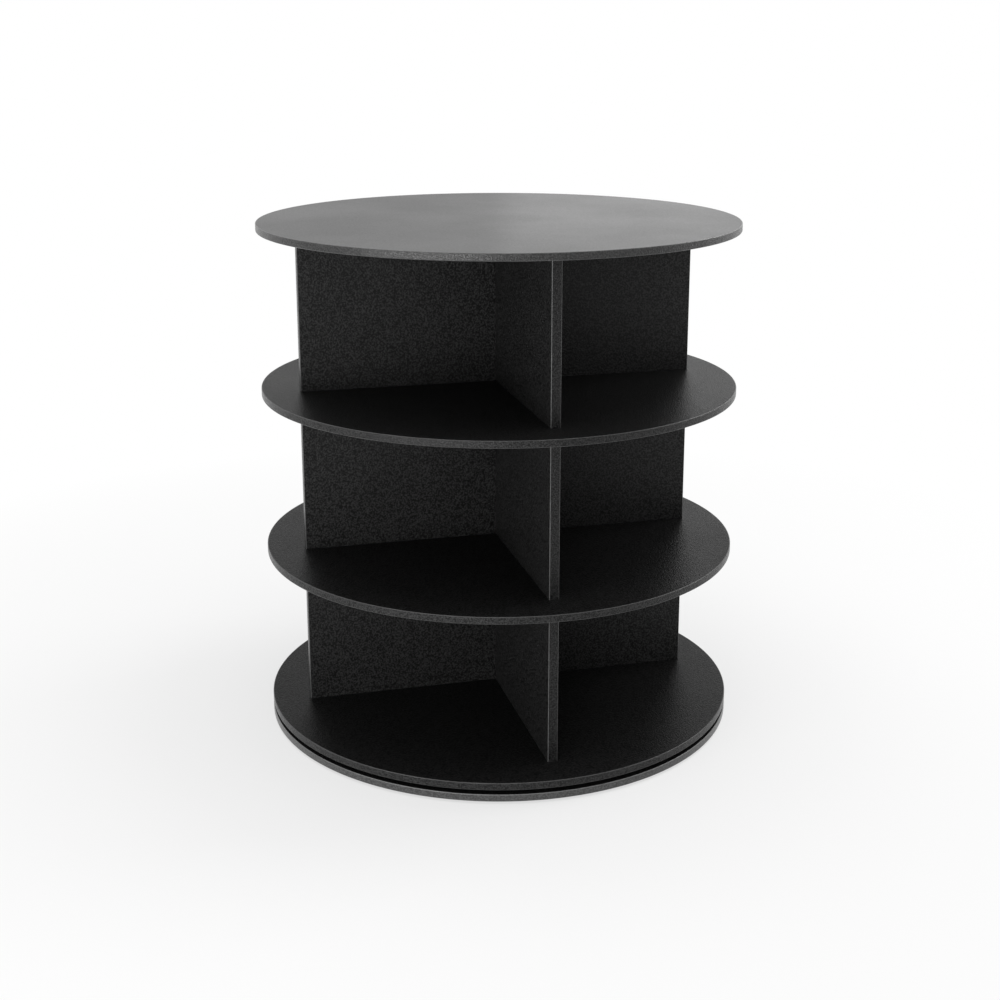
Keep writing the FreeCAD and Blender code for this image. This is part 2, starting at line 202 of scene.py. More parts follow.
def finish_tree(name, roughness, metallic=0.0):
    """A new material, its node tree, its shader and the piece's own coordinates."""
    material = bpy.data.materials.new(name)
    material.use_nodes = True
    tree = material.node_tree
    shader = tree.nodes["Principled BSDF"]
    shader.inputs["Roughness"].default_value = roughness
    shader.inputs["Metallic"].default_value = metallic
    place = node(tree, "ShaderNodeTexCoord").outputs["Object"]
    return material, tree, shader, place


def noise(tree, place, size, detail=2.0, roughness=0.5):
    """Noise whose features are about this size in metres."""
    return node(tree, "ShaderNodeTexNoise", {
        "Vector": place, "Scale": 1 / size, "Detail": detail, "Roughness": roughness,
    }).outputs[0]


def spread(tree, value, low, high, from_low=0.0, from_high=1.0):
    """Maps a value from one range to another."""
    return node(tree, "ShaderNodeMapRange", {
        "Value": value, "From Min": from_low, "From Max": from_high,
        "To Min": low, "To Max": high,
    }).outputs[0]


def blend_colours(tree, share, first, second):
    """The first colour where the share is 0, the second where it is 1. Either may be a
    socket."""
    mixed = node(tree, "ShaderNodeMix", {0: share}, data_type="RGBA")
    for socket, colour in ((mixed.inputs[6], first), (mixed.inputs[7], second)):
        if isinstance(colour, bpy.types.NodeSocket):
            tree.links.new(colour, socket)
        else:
            socket.default_value = (*colour, 1)
    return mixed.outputs[2]


def maths(tree, operation, *values):
    """The result of one sum on numbers or sockets."""
    return node(tree, "ShaderNodeMath", dict(enumerate(values)), operation=operation).outputs[0]


def relief(tree, shader, height, depth):
    """Lets a height from 0 to 1 stand this deep in metres."""
    bump = node(tree, "ShaderNodeBump", {"Height": height, "Distance": depth, "Strength": 1.0})
    tree.links.new(bump.outputs[0], shader.inputs["Normal"])


pad_rubber, tree, shader, place = finish_tree("pad_rubber", 0.78)
worn = noise(tree, place, 6 * MM, 4)
tree.links.new(blend_colours(tree, worn, (0.018, 0.018, 0.018), (0.045, 0.044, 0.043)),
               shader.inputs["Base Color"])
tree.links.new(spread(tree, worn, 0.68, 0.88), shader.inputs["Roughness"])
relief(tree, shader, noise(tree, place, 0.5 * MM, 2), 0.06 * MM)

pad_outline = []
pad_flat = pad_radius - pad_corner
for i in range(int(pad_flat / (pad_ring_pitch / pad_ring_steps)) + 1):
    r = i * pad_ring_pitch / pad_ring_steps
    wave = math.cos(math.tau * r / pad_ring_pitch)
    pad_outline.append((r, pad_ring_depth * (0.5 + 0.5 * wave)))
for i in range(pad_corner_steps + 1):
    a = math.pi / 2 * i / pad_corner_steps
    pad_outline.append((pad_flat + pad_corner * math.sin(a), pad_corner * (1 - math.cos(a))))
pad_outline += [(pad_radius, pad_height), (0, pad_height)]
one_pad = turned_piece("one_pad", pad_outline, 64)
foot_pads = set_on_marks("round_foot_pads", one_pad,
                         round_circle(pad_circle, 0, pad_count), pad_rubber)
bpy.data.objects.remove(one_pad)
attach(foot_pads, "base")
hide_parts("foot_pads")


# ---- Round boards ------------------------------------------------------------------------
# The base disc, three shelves and the top disc are 9 mm chipboard, 598 mm across, pressed
# with black melamine on both faces. Where they are bored or milled, the raw core shows.

discs = ("base_disc", "bottom_shelf", "lower_shelf", "upper_shelf", "top_disc")
board_skin = 0.15 * MM
top_tones = (0.005, 0.016)                  # valleys, pebbles
top_grain = (0.012 * MM, 0.5)               # depth, reach
top_gloss = (0.30, 0.33)                    # roughness where it is wiped and where it isn't
top_specular = 0.125
shelf_tones = (0.002, 0.022)
shelf_grain = (0.2 * MM, 0.3)
shelf_gloss = (0.34, 0.38)
# The shelves reflect less than the top disc, though it is the same melamine: painted shade for
# shelf tops under the disc above.
shaded_shelf_specular = 0.055


def press_grain(tree, place, reach=0.5, pebble=2.2 * MM):
    """The fine pebbled grain of the press plate, as a height from 0 to 1. A smaller reach
    sets the pebbles off more crisply from the valleys between them."""
    pebbles = node(tree, "ShaderNodeTexVoronoi", {
        "Vector": place, "Scale": 1 / pebble, "Smoothness": 0.6, "Randomness": 1.0,
    }, feature="SMOOTH_F1").outputs["Distance"]
    rounded = spread(tree, pebbles, 1.0, 0.0, 0.1, 0.75)
    uneven = spread(tree, noise(tree, place, 0.8 * pebble, 2), 0.0, 1.0, 0.3, 0.7)
    height = maths(tree, "ADD", maths(tree, "MULTIPLY", rounded, 0.45),
                   maths(tree, "MULTIPLY", uneven, 0.55))
    return spread(tree, height, 0.0, 1.0, 0.5 - reach, 0.5 + reach)


def near_black(tone):
    """A neutral black of this lightness."""
    return (tone, tone, tone)


def faced_board(name, axis, low, high, tones, grain, gloss, specular):
    """Melamine on the two pressed faces, raw chipboard wherever the board is cut or bored.
    The faces lie across the given axis, at its low and its high end."""
    board, tree, shader, place = finish_tree(name, 0.3)
    across = node(tree, "ShaderNodeSeparateXYZ", {0: place}).outputs[axis]
    core = maths(tree, "MULTIPLY",
                 maths(tree, "GREATER_THAN", across, low + board_skin),
                 maths(tree, "LESS_THAN", across, high - board_skin))
    pebbles = press_grain(tree, place, grain[1])
    wiped = noise(tree, place, 150 * MM, 3, 0.55)
    face = blend_colours(tree, pebbles, near_black(tones[0]), near_black(tones[1]))
    chips = node(tree, "ShaderNodeTexVoronoi",
                 {"Vector": place, "Scale": 1 / (1.8 * MM)}).outputs["Color"]
    chip = node(tree, "ShaderNodeSeparateColor", {0: chips}).outputs[0]
    raw = blend_colours(tree, chip, (0.21, 0.125, 0.065), (0.46, 0.32, 0.18))
    tree.links.new(blend_colours(tree, core, face, raw), shader.inputs["Base Color"])
    sheen = maths(tree, "ADD", spread(tree, wiped, gloss[0], gloss[1], 0.35, 0.65),
                  spread(tree, pebbles, 0.03, -0.03))
    rough = node(tree, "ShaderNodeMix", {0: core, 2: sheen, 3: 0.9})
    tree.links.new(rough.outputs[0], shader.inputs["Roughness"])
    shader.inputs["Specular IOR Level"].default_value = specular
    height = node(tree, "ShaderNodeMix",
                  {0: core, 2: pebbles, 3: maths(tree, "MULTIPLY", chip, 4.0)})
    relief(tree, shader, height.outputs[0], grain[0])
    return board


def dress(node_name, finish):
    """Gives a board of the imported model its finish."""
    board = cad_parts[node_name]
    board.data.materials.clear()
    board.data.materials.append(finish)


for disc in discs:
    low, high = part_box(disc)
    if disc == "top_disc":
        look = top_tones, top_grain, top_gloss, top_specular
    else:
        look = shelf_tones, shelf_grain, shelf_gloss, shaded_shelf_specular
    dress(disc, faced_board(disc + "_melamine", "Z", low.z, high.z, *look))


# ---- Rim edging --------------------------------------------------------------------------
# A strip of black plastic edging, 1 mm thick, is glued round each disc. It is paler along its
# arrises, partly from the trimmed plastic and partly as painted highlight, and its ends meet in a
# butt seam at the rear. The base disc's is a paler, more reflective copy, which is painted light
# from the floor, and a smoother make than the shelves'. The top disc's is a glossier one.

edging_thickness = 1.0 * MM
edging_rounding = 0.8 * MM
edging_corner_steps = 6
edging_tuck = 0.5 * MM                      # reach of the strip into the board's edge
edging_sink = 0.03 * MM                     # depth of that part under the board's faces
disc_thickness = 9 * MM
core_radius = 299 * MM
rim_steps = 361
seam_gap = 0.25 * MM
seam_angles = {"base_disc": 97, "bottom_shelf": 78, "lower_shelf": 104, "upper_shelf": 85,
               "top_disc": 93}
edging_tones = (0.001, 0.028, 0.075)        # valleys, pebbles, arrises (trimmed plastic and painted highlight)
# The base rim's tones are lighter than the other rims': painted light from the floor.
floor_lit_base_edging_tones = (0.028, 0.082, 0.16)
edging_reach = 0.2
edging_pebble = 1.9 * MM
edging_relief = 0.25 * MM
base_edging_relief = 0.12 * MM
edging_specular = 0.22
base_edging_specular = 0.5
top_edging_specular = 0.45


def edging_profile(width):
    """The strip's cross section: X is outwards, Y across the board. Its trimmed arrises are
    marked for their paler colour, which is in part painted highlight, and points beside them
    keep the flats flat."""
    flat = edging_thickness - edging_rounding
    half = width / 2
    corner = []
    for i in range(edging_corner_steps + 1):
        a = math.pi / 2 * i / edging_corner_steps
        corner.append((flat + edging_rounding * math.sin(a),
                       half - edging_rounding * (1 - math.cos(a)),
                       0 < i < edging_corner_steps))
    side = half - edging_rounding - 0.25 * MM
    upper = [(-edging_tuck, half - edging_sink, False), (0, half, False)] + corner
    upper.append((edging_thickness, side, False))
    points = upper + [(x, -y, mark) for x, y, mark in reversed(upper)]
    mesh = bpy.data.meshes.new("edging_profile")
    count = len(points)
    mesh.from_pydata([(x, y, 0) for x, y, mark in points],
                     [(i, (i + 1) % count) for i in range(count)], [])
    arris = mesh.attributes.new("arris", "FLOAT", "POINT")
    arris.data.foreach_set("value", [float(mark) for x, y, mark in points])
    return shown("edging_profile", mesh)


def swept(tree, path, profile):
    """The profile drawn along a path, with closed ends."""
    section = node(tree, "GeometryNodeObjectInfo", {"Object": profile})
    outline = node(tree, "GeometryNodeMeshToCurve", {"Mesh": section.outputs["Geometry"]})
    return node(tree, "GeometryNodeCurveToMesh", {
        "Curve": path, "Profile Curve": outline.outputs[0], "Fill Caps": True,
    }).outputs[0]


def finish_edging(piece, *nodes):
    """Turns the strip's faces outwards, shades it, and lets it stand for its CAD nodes."""
    shape = bmesh.new()
    shape.from_mesh(piece.data)
    bmesh.ops.recalc_face_normals(shape, faces=shape.faces)
    shape.to_mesh(piece.data)
    shape.free()
    piece.data.shade_smooth()
    piece.data.set_sharp_from_angle(angle=math.radians(35))
    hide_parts(*nodes)


def edging_finish(name, valleys, pebbles, trim_and_highlight_tone, specular, depth=edging_relief):
    """Pebbled plastic edging that is smoother and paler along its arrises, partly from the
    trimming and partly as painted highlight.
    """
    strip, tree, shader, place = finish_tree(name, 0.4)
    grain = press_grain(tree, place, edging_reach, edging_pebble)
    arris = node(tree, "ShaderNodeAttribute", attribute_name="arris").outputs["Fac"]
    # Paler, smoother arrises: partly the trimmed plastic, partly a painted highlight.
    trim_and_highlight = maths(tree, "MULTIPLY", arris,
                   spread(tree, noise(tree, place, 9 * MM, 3), 0.55, 1.0, 0.3, 0.7))
    face = blend_colours(tree, grain, near_black(valleys), near_black(pebbles))
    tree.links.new(blend_colours(tree, trim_and_highlight, face, near_black(trim_and_highlight_tone)),
                   shader.inputs["Base Color"])
    tree.links.new(spread(tree, trim_and_highlight, 0.28, 0.3), shader.inputs["Roughness"])
    relief(tree, shader, maths(tree, "MULTIPLY", grain, spread(tree, arris, 1.0, 0.35)),
           depth)
    shader.inputs["Specular IOR Level"].default_value = specular
    return strip


black_edging = edging_finish("black_edging", *edging_tones, edging_specular)
# The base disc's edging is a paler, more reflective copy of the black edging: painted light from
# the floor.
floor_lit_base_edging = edging_finish("floor_lit_base_edging", *floor_lit_base_edging_tones, base_edging_specular,
                            base_edging_relief)
top_edging = edging_finish("top_edging", *edging_tones, top_edging_specular)
rim_finishes = {"base_disc": floor_lit_base_edging, "top_disc": top_edging}

rim_tree, given, output = new_tree(
    "rim_edging", ("Profile", "Object"), ("Board Radius", "Float"), ("Middle", "Float"),
    ("Seam Angle", "Float"), ("Seam Gap", "Float"), ("Steps", "Int"), ("Finish", "Material"))
gap_angle = node(rim_tree, "ShaderNodeMath",
                 {0: given["Seam Gap"], 1: given["Board Radius"]}, operation="DIVIDE")
sweep = node(rim_tree, "ShaderNodeMath", {0: math.tau, 1: gap_angle.outputs[0]},
             operation="SUBTRACT")
rim_path = node(rim_tree, "GeometryNodeCurveArc", {
    "Resolution": given["Steps"], "Radius": given["Board Radius"],
    "Start Angle": given["Seam Angle"], "Sweep Angle": sweep.outputs[0],
}, mode="RADIUS")
lift = node(rim_tree, "ShaderNodeCombineXYZ", {"Z": given["Middle"]})
lifted = node(rim_tree, "GeometryNodeTransform", {
    "Geometry": swept(rim_tree, rim_path.outputs["Curve"], given["Profile"]),
    "Translation": lift.outputs[0],
})
end_tree(rim_tree, lifted.outputs[0], given["Finish"], output)

rim_profile = edging_profile(disc_thickness)
for disc, seam in seam_angles.items():
    low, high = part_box(disc)
    band = plain_result(disc + "_rim_edging", rim_tree, {
        "Profile": rim_profile, "Board Radius": core_radius, "Middle": (low.z + high.z) / 2,
        "Seam Angle": math.radians(seam), "Seam Gap": seam_gap, "Steps": rim_steps,
        "Finish": rim_finishes.get(disc, black_edging),
    })
    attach(band, "base" if disc == "base_disc" else "tower")
    finish_edging(band, disc + "_edge_band")
bpy.data.objects.remove(rim_profile)


# ---- Bearing -----------------------------------------------------------------------------
# A slim ball bearing of 300 mm lies between the base disc and the bottom shelf. Both rings
# are turned from aluminium, and 36 steel balls run between them in a thin nylon cage.

ball_radius = 2.5 * MM
ball_count = 36
ball_rows = 14
lathe_stretch = 0.02                        # turning marks hardly change on the way round


def smooth_copy(name, node_name, body, finish, crease=30):
    """A merged and smoothly shaded copy of a fitting, shown in its place."""
    shape = bmesh.new()
    shape.from_mesh(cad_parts[node_name].data)
    bmesh.ops.remove_doubles(shape, verts=shape.verts, dist=0.001 * MM)
    bmesh.ops.recalc_face_normals(shape, faces=shape.faces)
    mesh = bpy.data.meshes.new(name)
    shape.to_mesh(mesh)
    shape.free()
    mesh.shade_smooth()
    mesh.set_sharp_from_angle(angle=math.radians(crease))
    mesh.materials.append(finish)
    piece = shown(name, mesh)
    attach(piece, body)
    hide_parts(node_name)


turned_aluminium, tree, shader, place = finish_tree("turned_aluminium", 0.34, 1.0)
axes = node(tree, "ShaderNodeSeparateXYZ", {0: place}).outputs
flat_place = node(tree, "ShaderNodeCombineXYZ", {0: axes[0], 1: axes[1]}).outputs[0]
radius = node(tree, "ShaderNodeVectorMath", {0: flat_place}, operation="LENGTH").outputs[1]
around = node(tree, "ShaderNodeVectorMath", {0: flat_place, "Scale": lathe_stretch},
              operation="SCALE").outputs[0]
lathe_place = node(tree, "ShaderNodeVectorMath", {
    0: around, 1: node(tree, "ShaderNodeCombineXYZ",
                       {0: radius, 1: radius, 2: axes[2]}).outputs[0],
}, operation="ADD").outputs[0]
lathe_lines = noise(tree, lathe_place, 0.3 * MM, 3, 0.6)
tree.links.new(blend_colours(tree, lathe_lines, (0.66, 0.66, 0.68), (0.8, 0.8, 0.82)),
               shader.inputs["Base Color"])
tree.links.new(spread(tree, lathe_lines, 0.26, 0.42), shader.inputs["Roughness"])
relief(tree, shader, lathe_lines, 0.01 * MM)
smooth_copy("outer_bearing_ring", "bearing_outer_ring", "base",
            turned_aluminium)
smooth_copy("inner_bearing_ring", "bearing_inner_ring", "tower",
            turned_aluminium)

cage_nylon, tree, shader, place = finish_tree("cage_nylon", 0.46)
cloudy = noise(tree, place, 8 * MM, 3)
tree.links.new(blend_colours(tree, cloudy, (0.72, 0.7, 0.63), (0.83, 0.82, 0.77)),
               shader.inputs["Base Color"])
tree.links.new(spread(tree, cloudy, 0.4, 0.54), shader.inputs["Roughness"])
shader.inputs["Subsurface Weight"].default_value = 0.15
shader.inputs["Subsurface Scale"].default_value = 0.5 * MM
relief(tree, shader, noise(tree, place, 0.4 * MM), 0.01 * MM)
smooth_copy("nylon_ball_cage", "ball_cage", "ball_cage", cage_nylon)

ball_steel, tree, shader, place = finish_tree("ball_steel", 0.1, 1.0)
oily = noise(tree, place, 1.5 * MM, 3)
tree.links.new(blend_colours(tree, oily, (0.76, 0.76, 0.78), (0.84, 0.84, 0.86)),
               shader.inputs["Base Color"])
tree.links.new(spread(tree, oily, 0.06, 0.16, 0.35, 0.7), shader.inputs["Roughness"])
ball_outline = [(0, -ball_radius)]
for i in range(1, ball_rows):
    a = math.pi * i / ball_rows
    ball_outline.append((ball_radius * math.sin(a), -ball_radius * math.cos(a)))
one_ball = turned_piece("one_ball", ball_outline + [(0, ball_radius)], 24)
low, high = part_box("bearing_balls")
steel_balls = set_on_marks("steel_balls", one_ball, round_circle(
    high.x - ball_radius, (low.z + high.z) / 2, ball_count), ball_steel, math.pi, 3)
bpy.data.objects.remove(one_ball)
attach(steel_balls, "ball_cage")
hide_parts("bearing_balls")


# ---- Bearing screws ----------------------------------------------------------------------
# Eight zinc-plated countersunk wood screws hold each ring: the outer ring's go down into the
# base disc, and the inner ring's go up into the shelf, through the base disc's access hole.

screw_radius = 1.75 * MM
screw_core = 1.2 * MM
screw_head = 3.6 * MM
screw_length = 12.3 * MM
screw_pitch = 1.6 * MM
screw_smooth = 4.2 * MM                     # head to the first thread
screw_point = 2.0 * MM
screw_thread_rows = 56
screw_count = 8
driver_length = 4.2 * MM
driver_width = 1.1 * MM
driver_depth = 2.0 * MM


def screw_thread(angle, height):
    """Depth of a wood screw's thread: a narrow ridge that winds round the core."""
    if height > -screw_smooth:
        return 0
    turns = (height / screw_pitch - angle / math.tau) % 1.0
    ridge = max(0.0, 1 - abs(turns - 0.5) / 0.28)
    taper = min(1.0, (height + screw_length) / screw_point)
    return (screw_radius - screw_core) * (1 - ridge) * max(0.15, taper)


def combined(piece, other, operation):
    """Cuts a closed shape out of another one or joins the two, and drops the other."""
    modifier = piece.modifiers.new("combined", "BOOLEAN")
    modifier.object = other
    modifier.operation = operation
    modifier.solver = "EXACT"
    bpy.context.view_layer.update()
    seen = piece.evaluated_get(bpy.context.evaluated_depsgraph_get())
    mesh = bpy.data.meshes.new_from_object(seen)
    piece.modifiers.clear()
    piece.data = mesh
    bpy.data.objects.remove(other)
    mesh.shade_smooth()
    mesh.set_sharp_from_angle(angle=math.radians(35))


def cross_driver(length, width, depth, top):
    """A tapered cross, as long as the recess is wide, that points down from the top."""
    points, faces = [], []
    for bar in (0, 1):
        for height, share in ((top - depth, 0.35), (top, 1.0)):
            for sx, sy in ((-1, -1), (1, -1), (1, 1), (-1, 1)):
                x, y = sx * length / 2 * share, sy * width / 2 * (0.5 + 0.5 * share)
                points.append((x, y, height) if bar == 0 else (-y, x, height))
        k = 8 * bar
        faces += [(k + 3, k + 2, k + 1, k), (k + 4, k + 5, k + 6, k + 7)]
        faces += [(k + i, k + (i + 1) % 4, k + 4 + (i + 1) % 4, k + 4 + i) for i in range(4)]
    return smooth_piece("cross_driver", points, faces)


zinc_plate, tree, shader, place = finish_tree("zinc_plate", 0.34, 1.0)
cloudy = noise(tree, place, 3 * MM, 4)
tree.links.new(blend_colours(tree, cloudy, (0.56, 0.57, 0.6), (0.74, 0.72, 0.66)),
               shader.inputs["Base Color"])
tree.links.new(spread(tree, cloudy, 0.26, 0.46), shader.inputs["Roughness"])
relief(tree, shader, noise(tree, place, 0.25 * MM), 0.012 * MM)

screw_outline = [(0, -screw_length)]
thread_bottom = -screw_length + 0.25 * MM
for i in range(screw_thread_rows + 1):
    z = thread_bottom + (-screw_smooth - thread_bottom) * i / screw_thread_rows
    near_point = min(1.0, (z + screw_length) / screw_point)
    screw_outline.append((screw_radius * near_point, z))
cone_top = screw_head - screw_radius
screw_outline += [(screw_radius * 0.94, -screw_smooth + 0.1 * MM),
                  (screw_radius * 0.94, -cone_top), (screw_head - 0.15 * MM, -0.15 * MM),
                  (screw_head, -0.06 * MM), (screw_head - 0.1 * MM, 0), (0, 0)]
one_screw = turned_piece("one_screw", screw_outline, 24, screw_thread)
combined(one_screw, cross_driver(driver_length, driver_width, driver_depth, 0.05 * MM),
         "DIFFERENCE")
low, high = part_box("outer_ring_screws")
outer_screws = set_on_marks("outer_bearing_screws", one_screw, round_circle(
    high.x - screw_head, high.z, screw_count), zinc_plate, math.pi, 5)
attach(outer_screws, "base")
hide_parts("outer_ring_screws")
low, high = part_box("inner_ring_screws")
inner_screws = set_on_marks("inner_bearing_screws", one_screw, round_circle(
    high.x - screw_head, low.z, screw_count, tilt=math.pi), zinc_plate, math.pi, 8)
bpy.data.objects.remove(one_screw)
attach(inner_screws, "tower")
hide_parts("inner_ring_screws")


# ---- Cam bolts ---------------------------------------------------------------------------
# Zinc-plated steel bolts stand in the shelves, one to each divider arm. Those of the bottom
# shelf and the top disc are screwed in. The others have two ends and pass through the board.

shelves = discs[1:]
arms = 4
bolt_circle = 95 * MM
bolt_body = 3.4 * MM
bolt_neck = 2.0 * MM
bolt_head = 3.2 * MM
bolt_thread = 3.0 * MM
bolt_thread_core = 2.1 * MM
bolt_thread_length = 6.8 * MM
bolt_thread_pitch = 1.7 * MM
bolt_thread_rows = 40
bolt_body_top = 17.9 * MM                   # these two are heights over the board's face
bolt_shoulder = 21.33 * MM
bolt_head_length = 3.0 * MM
ease = 0.25 * MM                            # small bevel on turned corners


def bolt_end_rows():
    """(radius, height) points of a cam bolt above the board's face."""
    top = bolt_shoulder + bolt_head_length
    return [(bolt_body, 0.3 * MM), (bolt_body, bolt_body_top - ease),
            (bolt_body - ease, bolt_body_top), (bolt_neck, bolt_body_top),
            (bolt_neck, bolt_shoulder), (bolt_head - ease, bolt_shoulder),
            (bolt_head, bolt_shoulder + ease), (bolt_head, top - ease),
            (bolt_head - ease, top), (0, top)]


def coarse_thread(angle, height):
    """Depth of the coarse thread that bites into the board."""
    if not -bolt_thread_length < height < 0:
        return 0
    turns = (height / bolt_thread_pitch - angle / math.tau) % 1.0
    ridge = max(0.0, 1 - abs(turns - 0.5) / 0.3)
    return (bolt_thread - bolt_thread_core) * (1 - ridge)


thread = [(bolt_thread, -bolt_thread_length * (1 - i / bolt_thread_rows))
          for i in range(1, bolt_thread_rows)]
screwed_bolt = turned_piece(
    "screwed_bolt", [(0, -bolt_thread_length), (bolt_thread_core, -bolt_thread_length)]
    + thread + [(bolt_body - ease, 0)] + bolt_end_rows(), 24, coarse_thread)
upper_end = [(r, z + disc_thickness) for r, z in bolt_end_rows()]
lower_end = [(r, -z) for r, z in reversed(bolt_end_rows())]
double_bolt = turned_piece("double_bolt", lower_end + upper_end, 24)
for shelf in shelves:
    low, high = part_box(shelf)
    if shelf == "bottom_shelf":
        bolt, places = screwed_bolt, round_circle(bolt_circle, high.z, arms)
    elif shelf == "top_disc":
        bolt, places = screwed_bolt, round_circle(bolt_circle, low.z, arms, tilt=math.pi)
    else:
        bolt, places = double_bolt, round_circle(bolt_circle, low.z, arms)
    bolts = set_on_marks(shelf + "_bolts", bolt, places, zinc_plate, math.pi, 11)
    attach(bolts, "tower")
    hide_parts(shelf + "_cam_bolts")
bpy.data.objects.remove(screwed_bolt)
bpy.data.objects.remove(double_bolt)


# ---- Dowels ------------------------------------------------------------------------------
# Fluted beech dowels of 6 mm line the dividers up with the shelves, and two level ones in
# each tier run through the long divider into the short ones. All are glued.

tiers = ("bottom_tier", "middle_tier", "top_tier")
dowel_radius = 3.0 * MM
dowel_bevel = 0.8 * MM
dowel_circle = 215 * MM
flute_count = 16
flute_depth = 0.22 * MM
fibre_stretch = 0.08


def flutes(angle, height):
    """Depth of the straight glue flutes round a dowel."""
    return flute_depth * (0.5 - 0.5 * math.cos(flute_count * angle)) ** 0.7


def beech(name, along):
    """Bare beech, with its grain and its short dark flecks drawn out along the dowel."""
    wood, tree, shader, place = finish_tree(name, 0.62)
    stretch = node(tree, "ShaderNodeMapping", {"Vector": place, "Scale": along}).outputs[0]
    fibre = noise(tree, stretch, 1.1 * MM, 5, 0.6)
    fleck = spread(tree, noise(tree, stretch, 0.45 * MM, 1), 0.0, 1.0, 0.62, 0.7)
    tone = blend_colours(tree, fibre, (0.5, 0.35, 0.2), (0.73, 0.57, 0.38))
    tree.links.new(blend_colours(tree, fleck, tone, (0.33, 0.2, 0.1)),
                   shader.inputs["Base Color"])
    tree.links.new(spread(tree, fibre, 0.55, 0.75), shader.inputs["Roughness"])
    relief(tree, shader, fibre, 0.06 * MM)
    return wood


def one_dowel(length):
    """A fluted dowel that stands on its end, with both ends bevelled."""
    outline = [(0, 0), (dowel_radius - dowel_bevel, 0), (dowel_radius, dowel_bevel),
               (dowel_radius, length - dowel_bevel), (dowel_radius - dowel_bevel, length),
               (0, length)]
    return turned_piece("one_dowel", outline, 4 * flute_count, flutes)


upright_beech = beech("upright_beech", (1, 1, fibre_stretch))
for shelf in shelves:
    low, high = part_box(shelf + "_dowels")
    pin = one_dowel(high.z - low.z)
    dowels = set_on_marks(shelf + "_beech_dowels", pin,
                          round_circle(dowel_circle, low.z, arms), upright_beech,
                          math.pi, 21)
    bpy.data.objects.remove(pin)
    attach(dowels, "tower")
    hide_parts(shelf + "_dowels")

level_beech = beech("level_beech", (1, fibre_stretch, 1))
for tier in tiers:
    low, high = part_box(tier + "_cross_dowels")
    pin = one_dowel(high.y - low.y)
    level = (-math.pi / 2, 0, 0)
    dowels = set_on_marks(tier + "_beech_cross_dowels", pin, [
        ((0, low.y, low.z + dowel_radius), level),
        ((0, low.y, high.z - dowel_radius), level),
    ], level_beech, math.pi, 22)
    bpy.data.objects.remove(pin)
    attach(dowels, "tower")
    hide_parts(tier + "_cross_dowels")


# ---- Dividers ----------------------------------------------------------------------------
# Each tier has a cross of 12 mm chipboard: one long divider with a short one butted to each
# face. Their melamine comes from a pebbled press plate and is a little more matt.

divider_tones = (0.0005, 0.0265)
divider_grain = (0.2 * MM, 0.2)
divider_gloss = (0.36, 0.42)
divider_specular = 0.17

for tier in tiers:
    for part, axis in (("long", "Y"), ("front", "X"), ("rear", "X")):
        divider = f"{tier}_{part}_divider"
        low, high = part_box(divider)
        ends = (low.y, high.y) if axis == "Y" else (low.x, high.x)
        dress(divider, faced_board(divider + "_melamine", axis, *ends, divider_tones,
                                   divider_grain, divider_gloss, divider_specular))


# ---- Divider end edging ------------------------------------------------------------------
# The same black edging, cut to the width of a divider, covers the outer end of every arm.
# It stands upright between two shelves, and its two long arrises are trimmed round. Its pebbles
# are darker than on the rims, a painted shade under the disc above, and its arrises paler, a
# painted highlight.

divider_thickness = 12 * MM
# Darker pebbles are painted shade under the disc overhang; the paler arrises are painted
# highlight.
arm_edging_shade_and_highlight_tones = (0.001, 0.023, 0.12)
arm_edging_specular = 0.2

arm_tree, given, output = new_tree(
    "divider_edging", ("Profile", "Object"), ("Board Reach", "Float"), ("Foot", "Float"),
    ("Head", "Float"), ("Arms", "Int"), ("Finish", "Material"))
foot = node(arm_tree, "ShaderNodeCombineXYZ",
            {"X": given["Board Reach"], "Z": given["Foot"]}).outputs[0]
head = node(arm_tree, "ShaderNodeCombineXYZ",
            {"X": given["Board Reach"], "Z": given["Head"]}).outputs[0]
upright = node(arm_tree, "GeometryNodeCurvePrimitiveLine", {"Start": foot, "End": head})
strip = swept(arm_tree, upright.outputs[0], given["Profile"])
hub = node(arm_tree, "GeometryNodeMeshLine", {"Count": given["Arms"], "Offset": (0, 0, 0)})
number = node(arm_tree, "GeometryNodeInputIndex").outputs[0]
share = node(arm_tree, "ShaderNodeMath", {0: number, 1: given["Arms"]}, operation="DIVIDE")
bearing_angle = node(arm_tree, "ShaderNodeMath", {0: share.outputs[0], 1: math.tau},
                     operation="MULTIPLY")
about = node(arm_tree, "FunctionNodeAxisAngleToRotation",
             {"Axis": (0, 0, 1), "Angle": bearing_angle.outputs[0]})
strips = node(arm_tree, "GeometryNodeInstanceOnPoints",
              {"Points": hub.outputs[0], "Instance": strip, "Rotation": about.outputs[0]})
end_tree(arm_tree, strips.outputs[0], given["Finish"], output)

arm_edging = edging_finish("arm_edging", *arm_edging_shade_and_highlight_tones, arm_edging_specular)
arm_profile = edging_profile(divider_thickness)
for tier in tiers:
    low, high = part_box(tier + "_divider_end_bands")
    band = plain_result(tier + "_end_edging", arm_tree, {
        "Profile": arm_profile, "Board Reach": high.x - edging_thickness, "Foot": low.z,
        "Head": high.z, "Arms": arms, "Finish": arm_edging,
    })
    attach(band, "tower")
    finish_edging(band, tier + "_divider_end_bands")
bpy.data.objects.remove(arm_profile)


# ---- Cams --------------------------------------------------------------------------------
# Die-cast zinc drums of 12 mm sit in the dividers and draw the bolts' heads in when they are
# turned with a screwdriver, which clamps the dividers and the shelves together.

